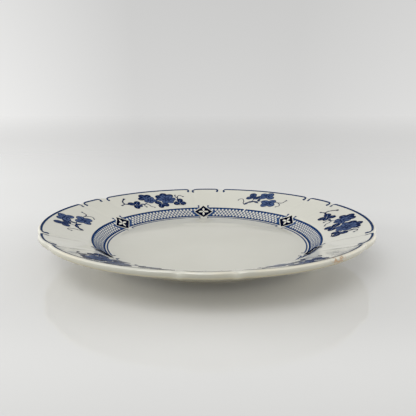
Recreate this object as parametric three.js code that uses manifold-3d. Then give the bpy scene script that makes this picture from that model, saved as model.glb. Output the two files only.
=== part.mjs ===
// Round china serving platter with a scalloped rim and a blue transfer-printed border.
// Millimetres, +Z up. The origin is the centre of the foot ring, on the surface the platter stands on.
// The body is one fired piece. Each transfer is its own thin film, lying just above the glaze.
import * as THREE from "three";
import { mergeVertices } from "three/addons/utils/BufferGeometryUtils.js";
import Module from "manifold-3d";

const wasm = await Module();
wasm.setup();

const { degToRad, clamp } = THREE.MathUtils;

// ---- driving dimensions ----
const rimRadius = 160;
const lobePairs = 6;
const period = 360 / lobePairs;
const shortLobeHalf = 7.16;
const longLobeHalf = period / 2 - shortLobeHalf;
const notchDepth = 2.4;
const shoulderRise = 1.5;
const fluteDepth = 0.8;
const flangeInner = 118;

const wellRadius = 93;
const wellTop = 10.1;
const wellUnderside = 4.6;
const rimThickness = 5.6;
const footOuter = 87.8;
const footInner = 85.4;

// The upper face, from the well outwards: radius, height and slope at each station.
const faceStations = [
  [0, wellTop, 0],
  [wellRadius, wellTop, 0],
  [101.7, 11.5, 0.5],
  [112.7, 19.4, 0.66],
  [flangeInner, 22.2, 0.4],
  [150, 33.5, 0.34],
  [157.4, 36.4, 0.3],
];

// Steps round the body: the short and long lobes share each period's steps.
const stepsPerPeriod = 14;
const shortLobeSteps = 4;

// Print films: their thickness, and the clearance under them.
const film = 0.3;
const clearance = 0.3;
const printTurn = 2.3;
const trellisInner = 100.9;
const trellisOuter = 113.6;
const wellLineRadius = 99;
const wellLineWidth = 1.5;
const medallionHalfWidth = 11;
const medallionHalfHeight = 8.4;
const medallionRadius = 108;
const medallionMargin = 1.1;
const rimLineWidth = 1.9;

// ---- the moulded surface ----
function faceHeight(radius) {
  const last = faceStations.length - 1;
  let i = 0;
  while (i < last - 1 && radius > faceStations[i + 1][0]) i += 1;
  const [r0, z0, slope0] = faceStations[i];
  const [r1, z1, slope1] = faceStations[i + 1];
  const span = r1 - r0;
  const t = (radius - r0) / span;
  const t2 = t * t;
  const t3 = t2 * t;
  const ends = (2 * t3 - 3 * t2 + 1) * z0 + (3 * t2 - 2 * t3) * z1;
  return ends + span * ((t3 - 2 * t2 + t) * slope0 + (t3 - t2) * slope1);
}

// Signed angle, in degrees, from the middle of the nearest short lobe.
function fromShortLobe(degrees) {
  return THREE.MathUtils.euclideanModulo(degrees, period) - period / 2;
}

// How far the rim outline stands inside its full radius (0 at the lobes' middles).
function outlineInset(degrees) {
  const offset = Math.abs(fromShortLobe(degrees));
  if (offset < shortLobeHalf) {
    return notchDepth * Math.pow(offset / shortLobeHalf, 3);
  }
  const x = (period / 2 - offset) / longLobeHalf;
  return shoulderRise * Math.pow(x, 8) + (notchDepth - shoulderRise) * x * x;
}

// The shallow groove that runs inwards from each notch.
function fluteSink(degrees) {
  const fromNotch = Math.abs(Math.abs(fromShortLobe(degrees)) - shortLobeHalf);
  return fluteDepth * Math.exp(-Math.pow(fromNotch / 1.8, 2));
}

function mouldPoint(radius, height, degrees) {
  const reach = clamp((radius - flangeInner) / (rimRadius - flangeInner), 0, 1);
  const r = radius - outlineInset(degrees) * reach * reach;
  const z = height - fluteSink(degrees) * reach;
  const angle = degToRad(degrees);
  return new THREE.Vector3(r * Math.cos(angle), r * Math.sin(angle), z);
}

// A point lifted off the upper face, square to it.
function overFace(radius, degrees, lift) {
  const step = 0.2;
  const origin = mouldPoint(radius, faceHeight(radius), degrees);
  const outwards = mouldPoint(radius + step, faceHeight(radius + step), degrees).sub(origin);
  const along = mouldPoint(radius, faceHeight(radius), degrees + step).sub(origin);
  return origin.add(outwards.cross(along).normalize().multiplyScalar(lift));
}

// ---- helpers for geometry ----
function weld(geometry) {
  geometry.deleteAttribute("normal");
  geometry.deleteAttribute("uv");
  return mergeVertices(geometry, 1e-4);
}

function moveVertices(geometry, place) {
  const position = geometry.getAttribute("position");
  const vertex = new THREE.Vector3();
  for (let i = 0; i < position.count; i += 1) {
    vertex.fromBufferAttribute(position, i);
    const moved = place(vertex);
    position.setXYZ(i, moved.x, moved.y, moved.z);
  }
  geometry.computeVertexNormals();
  return geometry;
}

function toSolid(geometry) {
  const welded = weld(geometry);
  const vertProperties = new Float32Array(welded.getAttribute("position").array);
  const triVerts = new Uint32Array(welded.index.array);
  return new wasm.Manifold(new wasm.Mesh({ numProp: 3, vertProperties, triVerts }));
}

function fromSolid(solid) {
  const mesh = solid.getMesh();
  const geometry = new THREE.BufferGeometry();
  geometry.setAttribute("position", new THREE.BufferAttribute(new Float32Array(mesh.vertProperties), 3));
  geometry.setIndex(new THREE.BufferAttribute(new Uint32Array(mesh.triVerts), 1));
  return geometry;
}

// ---- the body ----
// Section of the body, from the centre of the well out over the rim and back under to the centre.
function bodySection() {
  const section = [];
  for (const radius of [0, wellRadius, 97.5, 101.7, 107, 112.7, flangeInner, 128, 140, 150, 154.5, 157.4]) {
    section.push([radius, faceHeight(radius)]);
  }
  section.push([159.2, 36.0], [rimRadius, 34.3], [159.6, 32.0], [157.6, 30.7], [154, 29.8]);
  for (const radius of [141, 128, 118]) {
    section.push([radius, faceHeight(radius) - rimThickness]);
  }
  section.push([111, 12.2], [105.5, 7.9], [100, 5.3], [94, wellUnderside], [90.2, 3.6]);
  section.push([88.4, 0.6], [footOuter, 0], [footInner, 0], [84.8, 0.6], [83, 3.9]);
  section.push([79, wellUnderside], [0, wellUnderside]);
  return section;
}

// Even lathe steps are shared out so that one always lands on each notch.
function lobeAngle(evenDegrees) {
  const offset = fromShortLobe(evenDegrees);
  const evenHalf = (period * shortLobeSteps) / (2 * stepsPerPeriod);
  const size = Math.abs(offset);
  const inShort = (size * shortLobeHalf) / evenHalf;
  const inLong = shortLobeHalf + ((size - evenHalf) * longLobeHalf) / (period / 2 - evenHalf);
  const shared = size <= evenHalf ? inShort : inLong;
  return evenDegrees - offset + Math.sign(offset) * shared;
}

function bodyGeometry() {
  const points = bodySection().map(([radius, height]) => new THREE.Vector2(radius, height));
  const lathe = weld(new THREE.LatheGeometry(points.reverse(), stepsPerPeriod * lobePairs));
  lathe.rotateX(Math.PI / 2);
  return moveVertices(lathe, (vertex) => {
    const radius = Math.hypot(vertex.x, vertex.y);
    if (radius < 1e-6) return vertex;
    const evenDegrees = THREE.MathUtils.radToDeg(Math.atan2(vertex.y, vertex.x));
    return mouldPoint(radius, vertex.z, lobeAngle(evenDegrees));
  });
}

// ---- print films ----
// A film's outline is drawn flat: x is degrees clockwise from its middle, y the radius.
// Its thickness is z, and pressing it down puts it on the face around its own middle.
function pressOnFace(geometry, middleDegrees) {
  return moveVertices(geometry, ({ x, y, z }) => overFace(y, middleDegrees - x, clearance + z));
}

// A ribbon of constant width along a flat curve of points [degrees clockwise, radius].
function ribbon(points, width, steps) {
  const atRadius = points[0][1];
  const perDegree = degToRad(1) * atRadius;
  const curve = new THREE.SplineCurve(points.map(([x, y]) => new THREE.Vector2(x * perDegree, y)));
  const strip = weld(new THREE.BoxGeometry(1, width, film, steps, 1, 1));
  strip.translate(0.5, 0, film / 2);
  return moveVertices(strip, ({ x, y, z }) => {
    const t = clamp(x, 0, 1);
    const at = curve.getPointAt(t);
    const along = curve.getTangentAt(t);
    return new THREE.Vector3((at.x - along.y * y) / perDegree, at.y + along.x * y, z);
  });
}

// A sheet with one row of vertices at each radius, reaching to half its angle there on each side.
function sheet(halfAngle, radii, columns) {
  const rows = radii.length - 1;
  const plate = weld(new THREE.BoxGeometry(2, rows, film, columns, rows, 1));
  plate.translate(0, rows / 2, film / 2);
  return moveVertices(plate, ({ x, y, z }) => {
    const radius = radii[Math.round(y)];
    return new THREE.Vector3(x * halfAngle(radius), radius, z);
  });
}

// Half the medallion's angle at a radius, with a margin of bare glaze round it.
function medallionHalfAngle(radius, margin) {
  const left = 1 - Math.abs(radius - medallionRadius) / (medallionHalfHeight + margin);
  return THREE.MathUtils.radToDeg((Math.max(left, 0) * (medallionHalfWidth + margin)) / radius);
}

// The trellis is cut back round the medallions at its ends.
function trellisGeometry() {
  const halfAngle = (radius) => period / 2 - Math.max(medallionHalfAngle(radius, medallionMargin), 2.6);
  return sheet(halfAngle, [trellisInner, medallionRadius, trellisOuter], 12);
}

function wellLineGeometry() {
  const half = wellLineWidth / 2;
  return sheet(() => period / 2 - 2.8, [wellLineRadius - half, wellLineRadius + half], 12);
}

function crossShape(arm, waist) {
  const shape = new THREE.Shape();
  const flare = waist * 1.5;
  for (let i = 0; i < 4; i += 1) {
    const turn = (i * Math.PI) / 2;
    for (const [x, y] of [[waist, -waist], [arm * 0.8, -flare], [arm, 0], [arm * 0.8, flare]]) {
      const u = x * Math.cos(turn) - y * Math.sin(turn);
      const v = x * Math.sin(turn) + y * Math.cos(turn);
      if (i === 0 && x === waist) shape.moveTo(u, v);
      else shape.lineTo(u, v);
    }
  }
  shape.closePath();
  return shape;
}

// A diamond with a four-petal cross left open in it, so that the white body shows through.
function medallionGeometry() {
  const cells = 4;
  const square = toSolid(new THREE.BoxGeometry(2, 2, film, cells, cells, 1).translate(0, 0, film / 2));
  const cross = crossShape(0.7, 0.14);
  const crossPlate = new THREE.ExtrudeGeometry(cross, { depth: 3 * film, bevelEnabled: false });
  crossPlate.rotateZ(Math.PI / 4).translate(0, 0, -film);
  const diamond = fromSolid(square.subtract(toSolid(crossPlate)));
  const widthAngle = THREE.MathUtils.radToDeg(medallionHalfWidth / medallionRadius);
  return moveVertices(diamond, ({ x, y, z }) => {
    const across = ((x - y) / 2) * widthAngle;
    const radius = medallionRadius + ((x + y) / 2) * medallionHalfHeight;
    return new THREE.Vector3(across, radius, z);
  });
}

// The line along the rim of one lobe, with its ends hooked inwards at the notches.
function rimLineGeometry(halfAngle, steps) {
  const radius = rimRadius - 3.4;
  const end = halfAngle - 0.7;
  const points = [[-end, radius - 4], [-end + 0.4, radius - 1.2]];
  const turns = Math.ceil((end * 2) / 8);
  for (let i = 0; i <= turns; i += 1) {
    points.push([(end - 1.7) * ((2 * i) / turns - 1), radius]);
  }
  points.push([end - 0.4, radius - 1.2], [end, radius - 4]);
  return ribbon(points, rimLineWidth, steps);
}

// ---- flower sprays ----
function blossomShape(x, y, size, petals, turn) {
  const pointsPerPetal = 4;
  const count = petals * pointsPerPetal;
  const shape = new THREE.Shape();
  for (let i = 0; i < count; i += 1) {
    const angle = (i * 2 * Math.PI) / count;
    const reach = size * (0.5 + 0.5 * Math.sqrt(Math.abs(Math.cos((petals * angle) / 2))));
    const u = x + reach * Math.cos(angle + turn);
    const v = y + reach * Math.sin(angle + turn);
    if (i === 0) shape.moveTo(u, v);
    else shape.lineTo(u, v);
  }
  shape.closePath();
  return shape;
}

// Places on a spray are [millimetres clockwise of its middle, radius], at this mean radius.
const sprayRadius = 129;
const sprayDegrees = THREE.MathUtils.radToDeg(1 / sprayRadius);

function stemPlate(points, width, steps) {
  const flat = points.map(([x, y]) => [x * sprayDegrees, y]);
  const strip = ribbon(flat, width, steps);
  return moveVertices(strip, ({ x, y, z }) => new THREE.Vector3(x / sprayDegrees, y, z));
}

// Each spray was laid a little off its place by hand.
function sprayGeometry({ blossoms, stems }, shift) {
  let spray = null;
  const addPlate = (geometry) => {
    const plate = toSolid(geometry);
    spray = spray === null ? plate : spray.add(plate);
  };
  for (const points of stems) {
    addPlate(stemPlate(points, 1.2, points.length * 2));
  }
  for (const [x, y, size, petals, turn] of blossoms) {
    const shape = blossomShape(x, y, size, petals, degToRad(turn));
    addPlate(new THREE.ExtrudeGeometry(shape, { depth: film, bevelEnabled: false }));
  }
  const [right, out] = shift;
  return moveVertices(fromSolid(spray), ({ x, y, z }) => {
    return new THREE.Vector3((x + right) * sprayDegrees, y + out, z);
  });
}

// Blossoms are [x, radius, size, petals, turn in degrees]; stems are lists of [x, radius].
const fullSpray = {
  blossoms: [
    [-27, 131, 9, 4, 43],
    [7, 125.6, 9, 4, 56],
    [31, 126, 8.6, 3, 75],
    [-8, 144.4, 9.4, 4, 24],
    [-4.6, 137.4, 8, 5, 52],
    [16, 136.6, 11.8, 6, 32],
  ],
  stems: [
    [[-27, 131], [-17, 129], [-10, 132], [-4, 134], [3, 135], [9, 134.5], [16, 135]],
    [[16, 135], [24, 130], [31, 126]],
    [[-31, 134], [-36, 134.5], [-39, 137.5], [-38, 142.5], [-33, 147.5]],
    [[-34, 134.6], [-39, 136], [-44, 134.5]],
    [[-13, 129.5], [-10.5, 126], [-9.6, 122.5], [-6, 119.8]],
    [[-13.5, 129.8], [-17, 127], [-16.3, 122.6]],
    [[28, 131], [30.6, 135], [31, 140], [34.5, 143], [38, 139.5]],
    [[30, 125.5], [28.5, 120.8], [34.5, 119.8]],
  ],
};
const lightSpray = {
  blossoms: [
    [-10.4, 142.4, 7.8, 3, 100],
    [13.2, 130.6, 9.2, 4, 56],
    [5, 146.2, 8.4, 4, 62],
  ],
  stems: [
    [[-16, 123], [-12, 128], [-5, 131.5], [2, 133.5], [9, 133.5]],
    [[-10, 141], [-8.6, 136], [-9, 130]],
    [[5, 146], [1, 140], [-2, 133]],
    [[-16, 123], [-18.8, 125], [-19.4, 130], [-22, 134.8], [-25.5, 134.8], [-27, 131.4]],
    [[19, 134], [22.5, 135], [27.5, 132.4], [30, 128.5], [27, 125.2]],
    [[24, 134.6], [29.5, 136], [31.4, 142.5]],
  ],
};
const sprayShifts = [[-1.5, 1], [0, 0], [0, 0], [4.5, 0], [0, 0], [0, 0]];

// ---- assembly ----
const glazedChina = { color: 0xe3e0d6, roughness: 0.14, metalness: 0 };
const cobaltPrint = { color: 0x24376b, roughness: 0.16, metalness: 0 };
const navyPrint = { color: 0x10163a, roughness: 0.16, metalness: 0 };

const platter = new THREE.Group();

function addPiece(name, geometry, look) {
  const mesh = new THREE.Mesh(geometry, new THREE.MeshStandardMaterial(look));
  mesh.name = name;
  platter.add(mesh);
}

function addPrint(name, flatGeometry, middleDegrees, look) {
  addPiece(name, pressOnFace(flatGeometry, middleDegrees), look);
}

addPiece("platter_body", bodyGeometry(), glazedChina);
for (let i = 0; i < lobePairs; i += 1) {
  const shortLobe = period * (i + 0.5);
  const longLobe = period * i;
  const number = i + 1;
  const spray = i % 2 === 0 ? fullSpray : lightSpray;
  addPrint(`rim_line_short_${number}`, rimLineGeometry(shortLobeHalf, 10), shortLobe, cobaltPrint);
  addPrint(`rim_line_long_${number}`, rimLineGeometry(longLobeHalf, 20), longLobe, cobaltPrint);
  addPrint(`flower_spray_${number}`, sprayGeometry(spray, sprayShifts[i]), longLobe, cobaltPrint);
  addPrint(`trellis_band_${number}`, trellisGeometry(), longLobe + printTurn, cobaltPrint);
  addPrint(`well_line_${number}`, wellLineGeometry(), longLobe + printTurn, cobaltPrint);
  addPrint(`medallion_${number}`, medallionGeometry(), shortLobe + printTurn, navyPrint);
}

export default platter;
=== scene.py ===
import math

import bpy
import numpy as np
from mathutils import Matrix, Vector
from mathutils.geometry import delaunay_2d_cdt


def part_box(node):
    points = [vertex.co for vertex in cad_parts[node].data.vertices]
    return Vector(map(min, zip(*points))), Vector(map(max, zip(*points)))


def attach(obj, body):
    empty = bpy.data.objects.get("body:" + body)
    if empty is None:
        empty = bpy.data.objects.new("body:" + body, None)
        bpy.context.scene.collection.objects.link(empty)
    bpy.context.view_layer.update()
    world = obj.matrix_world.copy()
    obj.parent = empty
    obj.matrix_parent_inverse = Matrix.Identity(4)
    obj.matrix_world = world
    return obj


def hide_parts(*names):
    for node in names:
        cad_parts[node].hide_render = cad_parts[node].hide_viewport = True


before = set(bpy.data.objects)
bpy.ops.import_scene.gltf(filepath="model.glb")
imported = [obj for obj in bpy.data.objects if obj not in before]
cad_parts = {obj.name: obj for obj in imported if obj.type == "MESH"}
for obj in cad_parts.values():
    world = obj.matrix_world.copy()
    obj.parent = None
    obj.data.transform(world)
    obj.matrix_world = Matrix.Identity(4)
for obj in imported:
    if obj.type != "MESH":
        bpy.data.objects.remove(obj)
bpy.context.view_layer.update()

MM = 0.001

# ---- driving dimensions of the body ----
RIM_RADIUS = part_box("platter_body")[1][0] / MM
# The rim has a long and a short lobe in each period, with a notch where they meet.
LOBE_PAIRS = 6
PERIOD = 360 / LOBE_PAIRS
SHORT_HALF = 7.16
LONG_HALF = PERIOD / 2 - SHORT_HALF
NOTCH_DEPTH = 2.4
# A long lobe falls by this much right beside each notch, and gently by the rest of the depth.
SHOULDER_RISE = 1.5
# A crease runs in from each notch, with its depth at the rim in millimetres and its width in degrees.
FLUTE_DEPTH = 1.0
FLUTE_WIDTH = 1.3
FLANGE_INNER = 118
WELL_TOP = 10.1

# The upper face, from the well outwards: radius, height and slope at each station.
FACE_STATIONS = (
    (0, WELL_TOP, 0),
    (93, WELL_TOP, 0),
    (101.7, 11.5, 0.5),
    (112.7, 19.4, 0.66),
    (FLANGE_INNER, 22.2, 0.4),
    (150, 33.3, 0.36),
    (157.4, 36.4, 0.46),
)
# The rolled rim, the underside and the foot ring, each as radius and height.
RIM_ROLL = (
    (157.4, 36.4), (158.8, 36.15), (159.7, 35.2), (160, 34),
    (159.8, 32.4), (158.8, 31.2), (157, 30.5),
)
UNDERSIDE = (
    (154, 29.6), (141, 24.75), (128, 20.3), (118, 16.6),
    (111, 12.2), (105.5, 7.9), (100, 5.3), (94, 4.5),
)
FOOT_OUTSIDE = ((90.4, 4), (89, 2.4), (88.4, 0.8), (87.7, 0))
FOOT_INSIDE = ((85.3, 0), (84.7, 0.7), (84, 2.4), (82.6, 3.9), (79, 4.5), (74, 4.6))
# The foot stands on clay left bare up to this height.
BARE_TOP = 0.45

# ---- driving dimensions of the print, with the places of its lines as radii ----
# The border was laid on a little turned from the lobes.
PRINT_TURN = 2.3
# How far each flower spray was laid from its place, in millimetres clockwise and outwards.
SPRAY_SHIFTS = ((-1.5, 1.2), (0, 0), (0, 0), (4.5, 0.3), (0, 0), (0, 0))
# How far short of its notches each rim line stops, in degrees, at its left and right ends.
SHORT_LINE_GAPS = ((1.1, 1.1), (-0.2, 1.8), (1.2, 3.4), (1.1, 1.1), (1.1, 1.1), (1.1, 1.1))
LONG_LINE_GAPS = ((1.1, 1.1), (1.3, 1.1), (0.3, 2.3), (1.1, 1.1), (1.1, 1.1), (1.1, 1.1))
# How high the films lie over the glaze, and how thick they are.
FILM_LIFT = 0.05
FILM_THICKNESS = 0.06
# The films are cut into triangles of about this size, to follow the face.
FILM_GRID = 3.0

RIM_LINE = RIM_RADIUS - 3.4
TRELLIS_INNER = 100.9
TRELLIS_OUTER = 113.3
INNER_LINE = 101.7
OUTER_LINE = 112.7
BORDER_LINE_WIDTH = 1.6
LATTICE_MIDDLE = 107.05
LATTICE_ROWS = (-1.5, -0.5, 0.5, 1.5)
ROW_STEP = 2.2
CELLS = 26
# The bare diamonds of the lattice are this much of a cell wide and this much of a row step tall.
DIAMOND_WIDTH = 0.76
DIAMOND_HEIGHT = 1.5
WELL_LINE = 99.0
MEDALLION_RADIUS = 108
MEDALLION_HALF_WIDTH = 11
MEDALLION_HALF_HEIGHT = 8.4
MEDALLION_MARGIN = 1.1
# The dot of each border curl lies this far beside the middle of its medallion.
CURL_DOT_ASIDE = 6.73


# ---- the moulded surface, for arrays of radii and angles ----
def face_height(radius):
    """The height of the upper face, on a cubic between each two stations."""
    radius = np.asarray(radius, float)
    stations = np.array(FACE_STATIONS)
    last = len(stations) - 2
    i = np.clip(np.searchsorted(stations[:, 0], radius, side="right") - 1, 0, last)
    r0, z0, slope0 = stations[i].T
    r1, z1, slope1 = stations[i + 1].T
    span = r1 - r0
    t = (radius - r0) / span
    ends = (2 * t**3 - 3 * t**2 + 1) * z0 + (3 * t**2 - 2 * t**3) * z1
    return ends + span * ((t**3 - 2 * t**2 + t) * slope0 + (t**3 - t**2) * slope1)


def from_short_lobe(degrees):
    """The angle from the middle of the nearest short lobe."""
    return np.mod(degrees, PERIOD) - PERIOD / 2


def outline_inset(degrees):
    """How far the lobed rim lies inside the full circle."""
    offset = np.abs(from_short_lobe(degrees))
    in_short = NOTCH_DEPTH * (offset / SHORT_HALF) ** 3
    x = np.clip((PERIOD / 2 - offset) / LONG_HALF, 0, 1)
    in_long = SHOULDER_RISE * x**8 + (NOTCH_DEPTH - SHOULDER_RISE) * x**2
    return np.where(offset < SHORT_HALF, in_short, in_long)


def flute_sink(degrees):
    """How deep the creases are at the rim."""
    from_notch = np.abs(np.abs(from_short_lobe(degrees)) - SHORT_HALF)
    return FLUTE_DEPTH * np.exp(-((from_notch / FLUTE_WIDTH) ** 2))


def mould_points(radius, height, degrees):
    """Points of the round section, moulded to the lobes and creases of the flange."""
    reach = np.clip((radius - FLANGE_INNER) / (RIM_RADIUS - FLANGE_INNER), 0, 1)
    r = radius - outline_inset(degrees) * reach**2
    z = height - flute_sink(degrees) * reach
    angle = np.radians(degrees)
    return np.stack([r * np.cos(angle), r * np.sin(angle), z + 0 * r], axis=-1)


def over_face(radius, degrees, lift):
    """Points lifted off the upper face, square to it."""
    step = 0.2
    origin = mould_points(radius, face_height(radius), degrees)
    outwards = mould_points(radius + step, face_height(radius + step), degrees) - origin
    along = mould_points(radius, face_height(radius), degrees + step) - origin
    normal = np.cross(outwards, along)
    return origin + lift * normal / np.linalg.norm(normal, axis=-1, keepdims=True)


# ---- mesh helpers ----
def new_object(name, points_mm, faces, materials, smooth=True):
    mesh = bpy.data.meshes.new(name)
    mesh.from_pydata((np.asarray(points_mm) * MM).tolist(), [], faces)
    mesh.validate()
    mesh.polygons.foreach_set("use_smooth", [smooth] * len(mesh.polygons))
    for material in materials:
        mesh.materials.append(material)
    piece = bpy.data.objects.new(name, mesh)
    bpy.context.scene.collection.objects.link(piece)
    return piece


def smooth_curve(points, spacing):
    """A Catmull-Rom curve through a few points, sampled at about the spacing."""
    points = np.array(points, float)
    ends = np.vstack([2 * points[0] - points[1], points, 2 * points[-1] - points[-2]])
    samples = []
    for i in range(1, len(ends) - 2):
        p0, p1, p2, p3 = ends[i - 1 : i + 3]
        count = max(int(np.linalg.norm(p2 - p1) / spacing), 1)
        for t in np.arange(count) / count:
            spread = 2 * p1 + (p2 - p0) * t
            bend = (2 * p0 - 5 * p1 + 4 * p2 - p3) * t**2 + (3 * p1 - p0 - 3 * p2 + p3) * t**3
            samples.append((spread + bend) / 2)
    samples.append(points[-1])
    return np.array(samples)


# ---- shader helpers ----
def srgb(red, green, blue):
    """A colour as seen, from 0 to 255, as the linear values that shaders take."""
    linear = []
    for level in (red, green, blue):
        share = level / 255
        linear.append(((share + 0.055) / 1.055) ** 2.4 if level > 10 else share / 12.92)
    return (*linear, 1)


def grey(level):
    return (level, level, level, 1)


def start_material(name):
    material = bpy.data.materials.new(name)
    material.use_nodes = True
    tree = material.node_tree
    return material, tree, tree.nodes["Principled BSDF"]


def add_node(tree, kind, inputs=None, **settings):
    """A node with its settings made, and each input linked to a socket or set to a value."""
    node = tree.nodes.new(kind)
    for key, value in settings.items():
        setattr(node, key, value)
    for socket, value in (inputs or {}).items():
        if isinstance(value, bpy.types.NodeSocket):
            tree.links.new(value, node.inputs[socket])
        else:
            node.inputs[socket].default_value = value
    return node


def math_node(tree, operation, *values):
    """A Math node's result, from a number or a socket for each of its inputs."""
    return add_node(tree, "ShaderNodeMath", dict(enumerate(values)), operation=operation).outputs[0]


def ramp(tree, value, stops):
    """A colour ramp from (position, colour) stops."""
    node = add_node(tree, "ShaderNodeValToRGB", {"Fac": value})
    elements = node.color_ramp.elements
    while len(elements) < len(stops):
        elements.new(0.5)
    for element, (position, colour) in zip(elements, stops):
        element.position = position
        element.color = colour
    return node.outputs["Color"]


def object_place(tree):
    return add_node(tree, "ShaderNodeTexCoord").outputs["Object"]


def noise(tree, scale, detail=2.0, roughness=0.5):
    inputs = {"Vector": object_place(tree), "Scale": scale, "Detail": detail, "Roughness": roughness}
    return add_node(tree, "ShaderNodeTexNoise", inputs).outputs["Fac"]


def mix_colours(tree, amount, first, second, blend="MIX"):
    """Mixes two colours. A Mix node's factor is its socket 0, and its colours are 6 and 7."""
    inputs = {0: amount, 6: first, 7: second}
    return add_node(tree, "ShaderNodeMix", inputs, data_type="RGBA", blend_type=blend).outputs[2]


def between(tree, value, low, high):
    """Runs from 0 to 1 as the value goes from low to high."""
    inputs = {"Value": value, "From Min": low, "From Max": high}
    return add_node(tree, "ShaderNodeMapRange", inputs, interpolation_type="SMOOTHSTEP").outputs["Result"]


def part_of(tree, vector, axis):
    """A vector's X, Y or Z."""
    return add_node(tree, "ShaderNodeSeparateXYZ", {"Vector": vector}).outputs[axis]


def bump(tree, height, strength, distance):
    inputs = {"Height": height, "Strength": strength, "Distance": distance}
    return add_node(tree, "ShaderNodeBump", inputs).outputs["Normal"]


# ---- materials ----
GLAZE_DARKER = srgb(185, 184, 174)
GLAZE_LIGHTER = srgb(191, 190, 181)
CREAM_STAIN = srgb(206, 193, 162)
# Painted shade for the outer face of the rim.
PAINTED_RIM_SHADE = srgb(140, 139, 127)
WORN_BROWN = srgb(146, 120, 92)
# A warm underside tint that also carries painted shade, for faces that look down.
UNDERSIDE_TINT_AND_SHADE = srgb(172, 160, 120)
CLAY_DARKER = srgb(186, 174, 150)
CLAY_LIGHTER = srgb(224, 216, 198)
GLAZE_IOR = 1.58
# The print's shine is kept very low, so that it stays dark at low angles.
INK_IOR = 1.03
# The width of the stained and rubbed glaze round the rim, in millimetres.
RIM_BAND = 7
# Where the glaze is worn through to the brown body, on the front right of the rim, in metres.
WORN_SPOT = (0.0925, -0.1293, 0.0348)
# The inks, each as a pale and a deep tone.
LINE_INK = (srgb(100, 124, 166), srgb(20, 42, 76))
SPRAY_INK = (srgb(112, 134, 176), srgb(14, 26, 58))
TRELLIS_INK = (srgb(104, 132, 172), srgb(14, 40, 80))
NAVY_INK = (srgb(40, 50, 90), srgb(4, 7, 26))


def glaze_bump(tree, strength):
    """The faint orange-peel of a dipped glaze."""
    ripple = noise(tree, 90, 2)
    peel = noise(tree, 420, 1)
    return bump(tree, math_node(tree, "MULTIPLY_ADD", ripple, 0.8, peel), strength, 0.0004)


def distance_from_axis(tree):
    inputs = {0: object_place(tree), 1: (1, 1, 0)}
    flat = add_node(tree, "ShaderNodeVectorMath", inputs, operation="MULTIPLY").outputs[0]
    return add_node(tree, "ShaderNodeVectorMath", {0: flat}, operation="LENGTH").outputs["Value"]


def rim_painted_shade(tree, rim, tilt):
    """Painted shade on the outer face of the rim, most of all at the front."""
    outer_face = math_node(tree, "MULTIPLY", rim, between(tree, tilt, 0.75, 0.35))
    front = between(tree, part_of(tree, object_place(tree), "Y"), 0.02, -0.15)
    return math_node(tree, "MULTIPLY", outer_face, math_node(tree, "MULTIPLY_ADD", front, 0.7, 0.12))


def rim_stain(tree, rim):
    """Cream patches round the rim."""
    patchy = between(tree, noise(tree, 14, 4, 0.6), 0.42, 0.68)
    return math_node(tree, "MULTIPLY", math_node(tree, "MULTIPLY", rim, patchy), 0.5)


def worn_patch(tree):
    """A pitted patch round the worn spot."""
    inputs = {0: object_place(tree), 1: WORN_SPOT}
    distance = add_node(tree, "ShaderNodeVectorMath", inputs, operation="DISTANCE").outputs["Value"]
    near_spot = between(tree, distance, 0.012, 0.003)
    pitted = between(tree, noise(tree, 520, 3, 0.6), 0.5, 0.6)
    return math_node(tree, "MULTIPLY", near_spot, pitted)


def make_glaze():
    material, tree, shader = start_material("glazed_china")
    rim = between(tree, distance_from_axis(tree), (RIM_RADIUS - RIM_BAND) * MM, RIM_RADIUS * MM)
    # The tilt is 1 where the glaze faces up, 0 where it stands upright and -1 where it faces down.
    tilt = part_of(tree, add_node(tree, "ShaderNodeNewGeometry").outputs["Normal"], "Z")
    worn = worn_patch(tree)
    # Faces that look down get a warm tint and painted shade.
    underside_tint_and_shade = math_node(tree, "MULTIPLY", between(tree, tilt, 0.0, -0.5), 0.4)
    colour = ramp(tree, noise(tree, 9, 3, 0.55), [(0.3, GLAZE_DARKER), (0.7, GLAZE_LIGHTER)])
    colour = mix_colours(tree, rim_stain(tree, rim), colour, CREAM_STAIN)
    # Painted shade on the outer face of the rim, darkest at the front.
    colour = mix_colours(tree, rim_painted_shade(tree, rim, tilt), colour, PAINTED_RIM_SHADE)
    colour = mix_colours(tree, worn, colour, WORN_BROWN)
    colour = mix_colours(tree, underside_tint_and_shade, colour, UNDERSIDE_TINT_AND_SHADE)
    tree.links.new(colour, shader.inputs["Base Color"])
    haze = between(tree, noise(tree, 30, 3, 0.6), 0.3, 0.8)
    glossy = math_node(tree, "MULTIPLY_ADD", haze, 0.03, 0.02)
    roughness = math_node(tree, "MAXIMUM", glossy, math_node(tree, "MULTIPLY", worn, 0.7))
    tree.links.new(roughness, shader.inputs["Roughness"])
    tree.links.new(glaze_bump(tree, 0.08), shader.inputs["Normal"])
    shader.inputs["IOR"].default_value = GLAZE_IOR
    return material


def make_bare_clay():
    material, tree, shader = start_material("bare_clay")
    grains = noise(tree, 900, 3, 0.7)
    colour = ramp(tree, grains, [(0.35, CLAY_DARKER), (0.7, CLAY_LIGHTER)])
    tree.links.new(colour, shader.inputs["Base Color"])
    shader.inputs["Roughness"].default_value = 0.85
    tree.links.new(bump(tree, grains, 0.5, 0.0002), shader.inputs["Normal"])
    return material


def make_ink(name, pale, deep):
    """Print under the glaze. Each face's ink value picks the tone, and the cobalt pools unevenly."""
    material, tree, shader = start_material(name)
    ink = add_node(tree, "ShaderNodeAttribute", attribute_name="ink").outputs["Fac"]
    pooling = math_node(tree, "MULTIPLY_ADD", noise(tree, 260, 3, 0.6), 0.36, -0.18)
    tone = math_node(tree, "ADD", ink, pooling)
    tree.links.new(ramp(tree, tone, [(0.0, pale), (1.0, deep)]), shader.inputs["Base Color"])
    haze = between(tree, noise(tree, 60, 2), 0.3, 0.8)
    roughness = math_node(tree, "MULTIPLY_ADD", haze, 0.05, 0.08)
    tree.links.new(roughness, shader.inputs["Roughness"])
    tree.links.new(glaze_bump(tree, 0.1), shader.inputs["Normal"])
    shader.inputs["IOR"].default_value = INK_IOR
    return material


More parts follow.
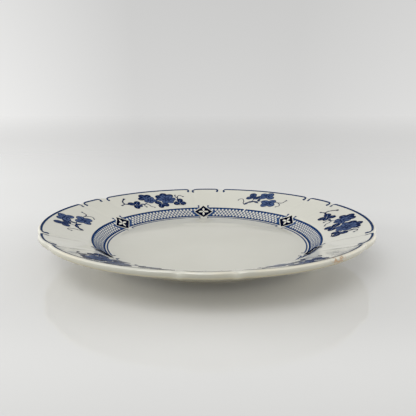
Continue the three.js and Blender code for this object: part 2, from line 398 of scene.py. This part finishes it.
# ---- the body ----
def body_section():
    """The section from the middle of the well, over the rim, to the middle of the underside."""
    well = np.concatenate([np.linspace(0, 90, 5), np.arange(91.5, 98, 1.0)])
    wall = np.arange(98, 123, 0.7)
    flange = np.arange(123, 157.4, 1.3)
    radii = np.concatenate([well, wall, flange])
    face = np.stack([radii, face_height(radii)], axis=1)
    rim = smooth_curve(RIM_ROLL, 0.45)
    under = smooth_curve(RIM_ROLL[-1:] + UNDERSIDE + FOOT_OUTSIDE, 1.8)[1:]
    inside = smooth_curve(FOOT_INSIDE, 1.6)
    centre = [(0, FOOT_INSIDE[-1][1])]
    return np.vstack([face, rim, under, inside, centre])


def lobe_angles(short_steps, long_steps):
    """Angles all the way round that always land on the notches."""
    angles = []
    for i in range(LOBE_PAIRS):
        middle = PERIOD * i
        notch = middle + LONG_HALF
        angles.extend(np.linspace(middle - LONG_HALF, notch, long_steps, endpoint=False))
        angles.extend(np.linspace(notch, notch + 2 * SHORT_HALF, short_steps, endpoint=False))
    return np.array(angles)


def build_body(glaze, clay):
    """The section swept round the lobes, with one point in the middle of each side."""
    section = body_section()
    angles = lobe_angles(short_steps=32, long_steps=84)
    rings = section[1:-1]
    count = len(angles)
    radius = np.repeat(rings[:, 0], count)
    height = np.repeat(rings[:, 1], count)
    points = mould_points(radius, height, np.tile(angles, len(rings)))
    centres = [(0, 0, section[0, 1]), (0, 0, section[-1, 1])]
    points = np.vstack([points, centres])
    top = len(points) - 2
    bottom = len(points) - 1
    faces = []
    for j in range(count):
        k = (j + 1) % count
        faces.append((top, j, k))
        for i in range(len(rings) - 1):
            a = i * count
            b = a + count
            faces.append((a + j, b + j, b + k, a + k))
        last = (len(rings) - 1) * count
        faces.append((last + j, bottom, last + k))
    body = new_object("china_body", points, faces, [glaze, clay])
    for polygon in body.data.polygons:
        if polygon.center.z < BARE_TOP * MM:
            polygon.material_index = 1
    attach(body, "root")
    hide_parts("platter_body")


# ---- printing ----
# A print is drawn flat: x is millimetres clockwise of its middle at PRINT_RADIUS, y is the radius.
# It is a list of (outline, ink). Later outlines lie over earlier ones, and ink None leaves bare glaze.
PRINT_RADIUS = 129
MM_TO_DEGREES = math.degrees(1 / PRINT_RADIUS)

# Inks, from pale wash to solid cobalt.
PALE = 0.15
WASH = 0.38
MIDDLE = 0.74
DARK = 0.85
SOLID = 1.0


def signed_area(outline):
    x, y = outline[:, 0], outline[:, 1]
    return float(np.sum(x * np.roll(y, -1) - np.roll(x, -1) * y)) / 2


def grid_inside(low, high):
    xs = np.arange(low[0] + FILM_GRID / 2, high[0], FILM_GRID)
    ys = np.arange(low[1] + FILM_GRID / 2, high[1], FILM_GRID)
    return [(x, y) for x in xs for y in ys]


def triangulate(drawing):
    """Cuts the drawing into triangles, each with the ink of the outline on top."""
    vertices = []
    faces = []
    for outline, _ in drawing:
        outline = outline if signed_area(outline) > 0 else outline[::-1]
        first = len(vertices)
        vertices.extend(outline.tolist())
        faces.append(list(range(first, first + len(outline))))
    everything = np.array(vertices)
    vertices.extend(grid_inside(everything.min(axis=0), everything.max(axis=0)))
    flat = [Vector(v) for v in vertices]
    result = delaunay_2d_cdt(flat, [], faces, 1, 1e-4)
    points, triangles, sources = result[0], result[2], result[5]
    kept = []
    inks = []
    for triangle, source in zip(triangles, sources):
        if not source:
            continue
        ink = drawing[max(source)][1]
        if ink is not None:
            kept.append(tuple(triangle))
            inks.append(ink)
    return np.array([tuple(p) for p in points]), kept, inks


def print_film(name, drawing, middle, material):
    """A thin closed film on the face, from a flat drawing."""
    flat, triangles, inks = triangulate(drawing)
    used = sorted({v for triangle in triangles for v in triangle})
    renumber = {v: i for i, v in enumerate(used)}
    flat = flat[used]
    triangles = [tuple(renumber[v] for v in triangle) for triangle in triangles]
    degrees = middle - flat[:, 0] * MM_TO_DEGREES
    lower = over_face(flat[:, 1], degrees, FILM_LIFT)
    upper = over_face(flat[:, 1], degrees, FILM_LIFT + FILM_THICKNESS)
    count = len(flat)
    # The drawing's x runs clockwise, so its triangles turn over on the face.
    faces = [(a + count, c + count, b + count) for a, b, c in triangles]
    faces.extend(triangles)
    face_inks = inks + inks
    edges = {}
    for triangle, ink in zip(triangles, inks):
        for edge in zip(triangle, triangle[1:] + triangle[:1]):
            edges[edge] = ink
    for (a, b), ink in edges.items():
        if (b, a) not in edges:
            faces.append((b, a, a + count, b + count))
            face_inks.append(ink)
    piece = new_object(name, np.vstack([lower, upper]), faces, [material], smooth=False)
    attribute = piece.data.attributes.new("ink", "FLOAT", "FACE")
    attribute.data.foreach_set("value", face_inks)
    return piece


# ---- marks of the drawing ----
def ribbon(points, width, spacing=0.8, taper=1.0):
    """The outline of a line of ink along a curve, narrowing to taper times its width at the end."""
    curve = smooth_curve(points, spacing)
    along = np.gradient(curve, axis=0)
    along /= np.linalg.norm(along, axis=1, keepdims=True)
    across = np.stack([-along[:, 1], along[:, 0]], axis=1)
    half = np.linspace(width / 2, width * taper / 2, len(curve))[:, None]
    return np.vstack([curve + across * half, (curve - across * half)[::-1]])


def oval(x, y, length, width, turn, steps=18, point=0.0):
    """An oval, with its far end drawn out to a point as point goes to 1."""
    t = np.linspace(0, 2 * math.pi, steps, endpoint=False)
    u = np.cos(t) * length / 2
    v = np.sin(t) * width / 2 * (1 - point * (0.5 + 0.5 * np.cos(t)) ** 2)
    c, s = math.cos(math.radians(turn)), math.sin(math.radians(turn))
    return np.stack([x + u * c - v * s, y + u * s + v * c], axis=1)


def ahead(x, y, distance, turn):
    """The point at a distance from another, in the direction of the turn."""
    a = math.radians(turn)
    return (x + distance * math.cos(a), y + distance * math.sin(a))


def petal(x, y, length, width, turn, ink):
    """One rounded petal, with a solid edge where its ink is lighter."""
    drawing = [(oval(x, y, length, width, turn), SOLID)]
    if ink != SOLID:
        drawing.append((oval(x, y, length - 1.3, width - 1.3, turn), ink))
    return drawing


def veins(x, y, length, turn, ink):
    """Engraved lines that run out along a petal: one pale one on solid ink, or else three solid ones."""
    spreads, vein_ink = ((0,), WASH) if ink == SOLID else ((-16, 0, 16), SOLID)
    drawing = []
    for spread in spreads:
        base = ahead(x, y, -0.42 * length, turn + spread)
        tip = ahead(x, y, 0.3 * length, turn + spread)
        drawing.append((ribbon([base, tip], 0.6, taper=0.5), vein_ink))
    return drawing


def clover(x, y, reach, size, turns, ink=SOLID):
    """Petals round one point, each centred at the reach in the direction of its turn."""
    drawing = []
    lines = []
    for turn in turns:
        middle = ahead(x, y, reach, turn)
        drawing += petal(*middle, size * 1.08, size * 0.94, turn, ink)
        lines += veins(*middle, size, turn, ink)
    return drawing + lines


def leaf(x, y, length, turn):
    """A small pointed leaf with a pale midrib."""
    base = ahead(x, y, -0.36 * length, turn)
    tip = ahead(x, y, 0.34 * length, turn)
    outline = (oval(x, y, length, length * 0.46, turn, point=0.7), SOLID)
    return [outline, (ribbon([base, tip], 0.3, taper=0.4), WASH)]


def tendril(points, width=1.2):
    """A thin curling line that ends in a dot."""
    dot = oval(*points[-1], width * 1.9, width * 1.7, 0, 10)
    return [(ribbon(points, width, 0.6, 0.8), SOLID), (dot, SOLID)]


def stem(points):
    return [(ribbon(points, 1.1, 0.9, 0.8), DARK)]


def eye(x, y):
    """The middle of an open flower."""
    return [(oval(x, y, 2.6, 2.4, 0, 12), SOLID), (oval(x, y, 1.1, 1.1, 0, 8), PALE)]


# ---- the two flower sprays ----
def full_spray():
    drawing = []
    drawing += stem([(-27, 131), (-17, 129), (-10, 132), (-4, 134)])
    drawing += stem([(-4, 134), (3, 135), (9, 134.5), (16, 135)])
    drawing += stem([(16, 135), (24, 130), (31, 126)])
    drawing += stem([(16, 135), (11, 130), (7, 126)])
    drawing += tendril([(-31, 134), (-36, 134.5), (-39, 137.5), (-38, 142.5), (-33, 147.5)], 1.8)
    drawing += tendril([(-34, 134.6), (-39, 136), (-44, 134.5)], 1.5)
    drawing += tendril([(-13, 129.5), (-10.5, 126), (-9.6, 122.5), (-6, 119.8)], 1.1)
    drawing += tendril([(-13.5, 129.8), (-17, 127), (-16.3, 122.6)])
    drawing += tendril([(28, 131), (30.6, 135), (31, 140), (34.5, 143), (38, 139.5)])
    drawing += tendril([(30.6, 135.5), (28.5, 140), (29, 144)])
    drawing += tendril([(30, 125.5), (28.5, 120.8), (34.5, 119.8)])
    drawing += leaf(5, 137.5, 7.5, 72)
    drawing += leaf(-18, 130, 5.5, 160)
    drawing += clover(-27, 131, 5.2, 8.4, (142, 42, 255))
    drawing += clover(-27, 131, 5.6, 6, (-42,))
    drawing += clover(7, 125.6, 5.2, 8.6, (140, 238, -34))
    drawing += clover(31, 126, 4.8, 8.2, (72, 207, -28))
    drawing += clover(-8, 143.4, 4.8, 8.8, (112, 38, 194))
    drawing += clover(15.6, 138.6, 7.2, 9.6, (92, 34, 148))
    drawing += clover(-4.6, 137.4, 4.3, 8, (-28, -100, 205, 128, 52), MIDDLE)
    drawing += eye(-4.6, 137.4)
    drawing += clover(16.6, 135.2, 6.2, 9.6, (-4, -62, -122, 176, 112, 52), MIDDLE)
    drawing += eye(16.6, 135.2)
    return drawing


def light_spray():
    left_curl = [(-16, 123), (-18.8, 125), (-19.4, 130), (-22, 134.8), (-25.5, 134.8), (-27, 131.4)]
    drawing = []
    drawing += stem([(-16, 123), (-12, 128), (-5, 131.5), (2, 133.5), (9, 133.5)])
    drawing += stem([(-10, 141), (-8.6, 136), (-9, 130)])
    drawing += stem([(5, 146), (1, 140), (-2, 133)])
    drawing += tendril(left_curl, 1.0)
    drawing += tendril([(19, 134), (22.5, 135), (27.5, 132.4), (30, 128.5), (27, 125.2)], 1.0)
    drawing += tendril([(24, 134.6), (29.5, 136), (31.4, 142.5)])
    drawing += leaf(-1.6, 135.6, 8, 100)
    drawing += leaf(-9, 130, 9.5, 28)
    drawing += leaf(-2.6, 129.8, 8.5, -24)
    drawing += leaf(-14.4, 125.4, 8.5, 52)
    drawing += clover(-11.4, 142.4, 4, 9, (100,), DARK)
    drawing += clover(-11.4, 142.4, 4.8, 8, (228, -30), DARK)
    drawing += clover(-3.5, 142, 0.6, 6.6, (70,))
    drawing += clover(13.2, 130.6, 5.2, 10, (56, 236, -25, 160), MIDDLE)
    drawing += clover(5, 145.8, 4.8, 9.2, (146, 66, -22, 214), MIDDLE)
    drawing += eye(5, 145.8)
    return drawing


def moved(drawing, x, y):
    return [(outline + (x, y), ink) for outline, ink in drawing]


# ---- the border ----
def flat_x(degrees_clockwise):
    """The x of an angle in a flat drawing."""
    return degrees_clockwise / MM_TO_DEGREES


def section_half(radius):
    """Half a border section's width at a radius, which leaves a bare margin beside the medallions."""
    clear = 1 - abs(radius - MEDALLION_RADIUS) / (MEDALLION_HALF_HEIGHT + MEDALLION_MARGIN)
    medallion_half = max(clear, 0) * (MEDALLION_HALF_WIDTH + MEDALLION_MARGIN) * PRINT_RADIUS / radius
    return flat_x(PERIOD / 2) - medallion_half


def band_outline(inner, outer, steps=40):
    """A stretch of the border between two medallions, its ends cut back round them."""
    radii = np.linspace(inner, outer, 13)
    right = [(section_half(r), r) for r in radii]
    left = [(-section_half(r), r) for r in radii[::-1]]
    top_half, bottom_half = right[-1][0], right[0][0]
    top = [(x, outer) for x in np.linspace(top_half, -top_half, steps)[1:-1]]
    bottom = [(x, inner) for x in np.linspace(-bottom_half, bottom_half, steps)[1:-1]]
    return np.array(right + top + left + bottom)


def lattice_cells():
    """The bare diamonds of the lattice, each row half a cell along from the last."""
    pitch = 2 * flat_x(PERIOD / 2) / CELLS
    drawing = []
    for row, step in enumerate(LATTICE_ROWS):
        radius = LATTICE_MIDDLE + step * ROW_STEP
        shift = 0.5 if row % 2 else 0.0
        for i in range(CELLS + 1):
            x = (i + shift - CELLS / 2) * pitch
            if abs(x) + pitch * DIAMOND_WIDTH / 2 < section_half(radius) - 0.2:
                diamond = oval(x, radius, pitch * DIAMOND_WIDTH, ROW_STEP * DIAMOND_HEIGHT, 0, steps=4)
                drawing.append((diamond, None))
    return drawing


def border_curl(side):
    """The outer line's end, which curls up beside a medallion to a dot."""
    corner = section_half(OUTER_LINE)
    dot = side * (flat_x(PERIOD / 2) - CURL_DOT_ASIDE)
    points = [(side * (corner - 2), OUTER_LINE), (side * (corner + 0.6), 113.4), (dot, 115.8)]
    return [(ribbon(points, 1.7, 0.7, 0.9), DARK), (oval(dot, 116.1, 2.9, 2.6, 0, 12), SOLID)]


def trellis_section():
    """A lattice of ink round bare diamonds, between two lines with curled ends."""
    drawing = [(band_outline(TRELLIS_INNER, TRELLIS_OUTER), DARK)]
    drawing += lattice_cells()
    for line in (INNER_LINE, OUTER_LINE):
        band = band_outline(line - BORDER_LINE_WIDTH / 2, line + BORDER_LINE_WIDTH / 2)
        drawing.append((band, SOLID))
    return drawing + border_curl(-1) + border_curl(1)


def nick():
    """A break across the outer line, where the transfer tore."""
    return [(ribbon([(-5.6, 115.4), (-8.2, 109.4)], 2.4), None)]


def hooked_points(left_end, right_end, radius, hook, straight_from, steps):
    """Points along a border line that hooks towards the well at both ends.

    The hook's points start at its tip: each is how far in from the line's end, and how far inside it.
    """
    left = [(left_end + x, radius - y) for x, y in hook]
    right = [(right_end - x, radius - y) for x, y in hook[::-1]]
    straight = np.linspace(left_end + straight_from, right_end - straight_from, steps + 1)
    return left + [(x, radius) for x in straight] + right


def rim_line(half_angle, left_gap, right_gap):
    """The line inside the rim of one lobe, hooked inwards short of the notch at each end."""
    left_end = -flat_x(half_angle - left_gap)
    right_end = flat_x(half_angle - right_gap)
    steps = max(int((right_end - left_end) / 5), 4)
    hook = ((0.5, 4.4), (0.1, 3.0), (0.3, 1.1))
    points = hooked_points(left_end, right_end, RIM_LINE, hook, 1.8, steps)
    dots = [(oval(*end, 3.4, 2.6, 90, 12), SOLID) for end in (points[0], points[-1])]
    return [(ribbon(points, 2.0), SOLID)] + dots


def well_line():
    """The thin line round the well, which hooks inwards to a dot short of each medallion."""
    end = section_half(WELL_LINE) - 5
    hook = ((0.6, 2.2), (0, 0.99))
    points = hooked_points(-end, end, WELL_LINE, hook, 2.2, 2 * int(end / 6))
    dots = [(oval(*tip, 2.25, 2.25, 0, 12), SOLID) for tip in (points[0], points[-1])]
    return [(ribbon(points, 1.5, 1.2), DARK)] + dots


def medallion():
    """A solid diamond with a bare cross of four petals, drawn as shares of its half diagonals."""
    half = np.array((MEDALLION_HALF_WIDTH * PRINT_RADIUS / MEDALLION_RADIUS, MEDALLION_HALF_HEIGHT))
    middle = np.array((0, MEDALLION_RADIUS))
    corners = np.array([(1, 0), (0, 1), (-1, 0), (0, -1)])
    drawing = [(corners * half + middle, SOLID)]
    for turn in range(0, 360, 90):
        cross_petal = oval(*ahead(0, 0, 0.3, turn), 0.52, 0.23, turn)
        drawing.append((cross_petal * half + middle, None))
    return drawing


def build_prints(line_ink, spray_ink, trellis_ink, navy_ink):
    """One film for each print that was laid on by itself, six of each kind."""
    for i in range(LOBE_PAIRS):
        number = i + 1
        long_lobe = PERIOD * i
        short_lobe = long_lobe + PERIOD / 2
        long_border = long_lobe + PRINT_TURN
        short_border = short_lobe + PRINT_TURN
        short_line = rim_line(SHORT_HALF, *SHORT_LINE_GAPS[i])
        long_line = rim_line(LONG_HALF, *LONG_LINE_GAPS[i])
        spray = moved(full_spray() if i % 2 == 0 else light_spray(), *SPRAY_SHIFTS[i])
        trellis = trellis_section()
        if number == 2:
            trellis += nick()
        jobs = (
            ("rim_line_short", short_line, short_lobe, line_ink, "cobalt_line"),
            ("rim_line_long", long_line, long_lobe, line_ink, "cobalt_line"),
            ("flower_spray", spray, long_lobe, spray_ink, "cobalt_spray"),
            ("trellis_band", trellis, long_border, trellis_ink, "cobalt_trellis"),
            ("well_line", well_line(), long_border, line_ink, "cobalt_line"),
            ("medallion", medallion(), short_border, navy_ink, "navy_medallion"),
        )
        for kind, drawing, middle, material, slot in jobs:
            piece = print_film(f"{kind}_{number}_print", drawing, middle, material)
            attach(piece, "root")
            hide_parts(f"{kind}_{number}")


# ---- stage, light and camera ----
# Half a side of the floor, in millimetres.
FLOOR_HALF = 60000
FLOOR_IOR = 1.85
FLOOR_DARKER = srgb(205, 205, 204)
FLOOR_LIGHTER = srgb(207, 207, 206)
# Painted shade for the floor near the camera.
FLOOR_NEAR_SHADE = srgb(180, 180, 179)

# How bright the room is from left to right, from front to back and from the floor up,
# each as a place from 0 to 1 and a level. The levels multiply.
ROOM_ACROSS = ((0.0, 0.95), (0.18, 0.95), (0.28, 0.76), (0.42, 0.6), (0.6, 0.59), (0.72, 0.65), (1.0, 1.3))
ROOM_DEPTH = ((0.0, 0.8), (0.3, 0.7), (0.55, 0.52), (0.8, 0.44))
ROOM_HEIGHT = ((0.0, 0.62), (0.25, 0.56), (0.6, 0.36), (1.0, 0.32))
ROOM_TINT = (1.0, 0.998, 0.988, 1)
ROOM_STRENGTH = 4.1

# The camera looks along Y, turned down and to the side by these degrees.
CAMERA_PLACE = (-0.0008, -0.4172, 0.1353)
CAMERA_DOWN = 12.34
CAMERA_TURN = -0.23
CAMERA_LENS = 36.9


def build_floor():
    """A glossy pale floor, with painted shade that makes it a little darker near the camera."""
    material, tree, shader = start_material("studio_floor")
    colour = ramp(tree, noise(tree, 0.5, 0), [(0.3, FLOOR_DARKER), (0.7, FLOOR_LIGHTER)])
    near_shade = between(tree, part_of(tree, object_place(tree), "Y"), -0.18, -0.33)
    colour = mix_colours(tree, math_node(tree, "MULTIPLY", near_shade, 0.75), colour, FLOOR_NEAR_SHADE)
    tree.links.new(colour, shader.inputs["Base Color"])
    shader.inputs["Roughness"].default_value = 0.006
    shader.inputs["IOR"].default_value = FLOOR_IOR
    corners = [(x * FLOOR_HALF, y * FLOOR_HALF, 0) for x, y in ((-1, -1), (1, -1), (1, 1), (-1, 1))]
    floor = new_object("studio_floor", corners, [(0, 1, 2, 3)], [material], smooth=False)


def add_softbox(name, place, aim, size, power, mirrored=True):
    """A rectangular lamp, which glossy surfaces mirror unless told not to."""
    light = bpy.data.lights.new(name, "AREA")
    light.shape = "RECTANGLE"
    light.size, light.size_y = size
    light.energy = power
    lamp = bpy.data.objects.new(name, light)
    lamp.location = place
    lamp.rotation_euler = (Vector(aim) - Vector(place)).to_track_quat("-Z", "Y").to_euler()
    lamp.visible_glossy = mirrored
    bpy.context.scene.collection.objects.link(lamp)


def room_level(tree, direction, axis, low, levels):
    """The room's brightness in each direction, as its part along an axis goes from low to 1."""
    inputs = {"Value": part_of(tree, direction, axis), "From Min": low}
    share = add_node(tree, "ShaderNodeMapRange", inputs).outputs["Result"]
    return ramp(tree, share, [(place, grey(level)) for place, level in levels])


def build_world():
    """A white room, brighter at its sides and low down, and dimmer at the back."""
    world = bpy.data.worlds.new("studio")
    world.use_nodes = True
    tree = world.node_tree
    direction = add_node(tree, "ShaderNodeTexCoord").outputs["Generated"]
    across = room_level(tree, direction, "X", -1.0, ROOM_ACROSS)
    depth = room_level(tree, direction, "Y", -1.0, ROOM_DEPTH)
    height = room_level(tree, direction, "Z", 0.0, ROOM_HEIGHT)
    room = mix_colours(tree, 1.0, across, depth, "MULTIPLY")
    room = mix_colours(tree, 1.0, room, height, "MULTIPLY")
    room = mix_colours(tree, 1.0, room, ROOM_TINT, "MULTIPLY")
    background = tree.nodes["Background"]
    tree.links.new(room, background.inputs["Color"])
    background.inputs["Strength"].default_value = ROOM_STRENGTH
    bpy.context.scene.world = world


def build_lamps():
    """A window high behind the camera, and a low lamp on each side to fill the rim."""
    add_softbox("window", (-0.5, -1.25, 1.85), (0, 0, 0.02), (1.6, 1.0), 21)
    add_softbox("low_left", (-1.6, 0.15, 0.4), (0, 0, 0), (1.0, 0.6), 20, mirrored=False)
    add_softbox("low_right", (1.6, 0.15, 0.4), (0, 0, 0), (1.0, 0.6), 12, mirrored=False)


def build_camera():
    lens = bpy.data.cameras.new("camera")
    lens.sensor_width = 36
    lens.lens = CAMERA_LENS
    lens.clip_start = 0.01
    camera = bpy.data.objects.new("camera", lens)
    camera.location = CAMERA_PLACE
    camera.rotation_euler = (math.radians(90 - CAMERA_DOWN), 0, math.radians(CAMERA_TURN))
    bpy.context.scene.collection.objects.link(camera)
    bpy.context.scene.camera = camera


build_camera()
build_body(make_glaze(), make_bare_clay())
build_prints(
    make_ink("cobalt_line_ink", *LINE_INK),
    make_ink("cobalt_spray_ink", *SPRAY_INK),
    make_ink("cobalt_trellis_ink", *TRELLIS_INK),
    make_ink("navy_medallion_ink", *NAVY_INK),
)
build_floor()
build_world()
build_lamps()
bpy.context.scene.view_settings.view_transform = "Standard"
